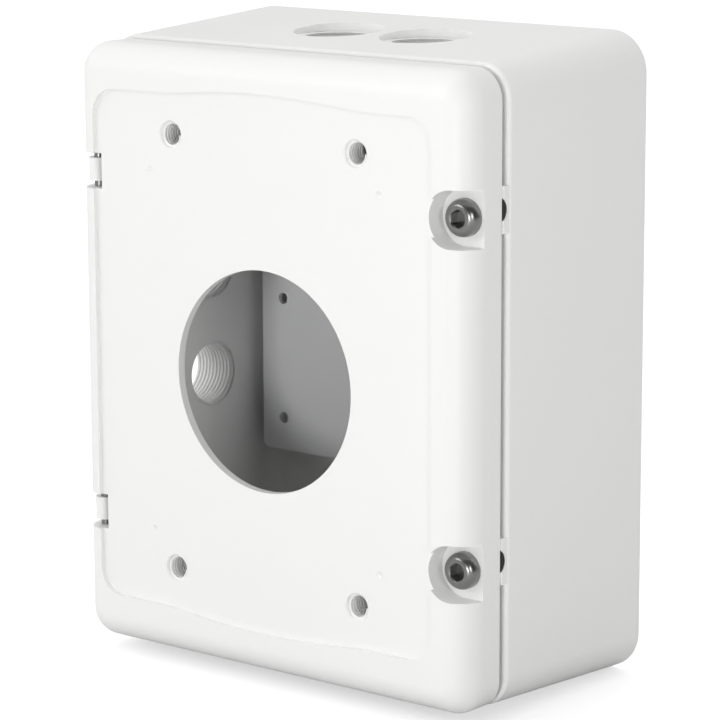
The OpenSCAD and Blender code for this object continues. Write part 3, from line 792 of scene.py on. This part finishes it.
# %% Finish of every CAD node
FINISHES = {
    "back_box": white_coat, "cover": white_coat, "cover_gasket": gasket_rubber_and_notch_shade,
    "equipment_plate": grey_coat, "earth_screw": brass,
    "retaining_ring_upper": spring_steel, "retaining_ring_lower": spring_steel,
}
for name, piece in frame["nodes"].items():
    wear(piece, FINISHES.get(name, stainless))

# %% [markdown]
# **Lamps.** Three soft lamps stand inside a white tent. One lights the right side and the inner left
# wall, one shines through the round opening onto the plate, and a weak one from the upper left draws the
# edge of the panel.

# %% Lamps
def lamp(name, place, aim, size, power):
    data = bpy.data.lights.new(name, "AREA")
    data.shape = "SQUARE"
    data.size = size
    data.energy = power
    made = bpy.data.objects.new(name, data)
    scene.collection.objects.link(made)
    made.location = place
    made.rotation_euler = (Vector(aim) - Vector(place)).to_track_quat("-Z", "Y").to_euler()
    return made


lamp("right_lamp", (1.47, -0.85, 0.38), (0, -0.05, 0), 0.5, 6.2)
lamp("left_lamp", (-0.8, -1.44, 0.7), (0, -0.05, 0), 0.6, 4.0)
lamp("port_lamp", (0.62, -1.83, 0.06), (0, -0.1, 0), 0.42, 9.8)

# %% [markdown]
# The tent itself is the world: its light is a base value plus a slope along each axis, so each side of
# the box gets its own share. The camera sees plain white behind the object.

# %% Tent
TENT_BASE = 0.83
TENT_SLOPES = (-1.1, 0.8, 0.38)
TENT_BRIGHTEST, TENT_DARKEST = 1.4, 0.02
GLOSSY_SHARE = 0.3
world = bpy.data.worlds.new("tent")
scene.world = world
world.use_nodes = True
tree = world.node_tree
tree.nodes.clear()
rays = node(tree, "ShaderNodeLightPath")
shown = node(tree, "ShaderNodeMath", [(0, rays.outputs["Is Camera Ray"]),
                                      (1, rays.outputs["Is Transmission Ray"])], operation="MAXIMUM")
towards = node(tree, "ShaderNodeTexCoord")
slope = node(tree, "ShaderNodeVectorMath", [(0, towards.outputs["Generated"])], operation="DOT_PRODUCT")
slope.inputs[1].default_value = TENT_SLOPES
share = node(tree, "ShaderNodeMath", [(0, slope.outputs["Value"])], operation="ADD")
share.inputs[1].default_value = TENT_BASE
lit = node(tree, "ShaderNodeClamp", [("Value", share.outputs[0])], Min=TENT_DARKEST, Max=TENT_BRIGHTEST)
glossy = node(tree, "ShaderNodeMapRange", [("Value", rays.outputs["Is Glossy Ray"])],
              To_Min=1.0, To_Max=GLOSSY_SHARE)
dimmed = node(tree, "ShaderNodeMath", [(0, lit.outputs[0]), (1, glossy.outputs[0])], operation="MULTIPLY")
tent = node(tree, "ShaderNodeBackground", [("Strength", dimmed.outputs[0])], Color=(1, 1, 1, 1))
white = node(tree, "ShaderNodeBackground", Color=(1, 1, 1, 1), Strength=1.0)
mixed = node(tree, "ShaderNodeMixShader",
             [("Fac", shown.outputs[0]), (1, tent.outputs[0]), (2, white.outputs[0])])
node(tree, "ShaderNodeOutputWorld", [("Surface", mixed.outputs[0])])

# %% [markdown]
# **Floor.** A plain pale sheet. It glows a little for the camera only, so that it is as white as the
# background without throwing more light on the box.

# %% Floor
FLOOR_SIZE = 8.0
FLOOR_GLOW = 0.55
bpy.ops.object.select_all(action="DESELECT")
bpy.ops.mesh.primitive_plane_add(size=FLOOR_SIZE, location=(0, 0, box_low[2]))
floor = bpy.context.object
floor.name = "floor"
floor_paint, tree, shader = material("floor_white")
shader.inputs["Base Color"].default_value = linear("#CCCCCC")
shader.inputs["Roughness"].default_value = 0.9
shader.inputs["Emission Color"].default_value = linear("#FFFFFF")
sight = node(tree, "ShaderNodeLightPath")
glow = node(tree, "ShaderNodeMath", [(0, sight.outputs["Is Camera Ray"])], operation="MULTIPLY")
glow.inputs[1].default_value = FLOOR_GLOW
tree.links.new(glow.outputs[0], shader.inputs["Emission Strength"])
floor.data.materials.append(floor_paint)

# %% Colour management
scene.view_settings.view_transform = "Standard"

# %% Finish
bpy.context.view_layer.update()
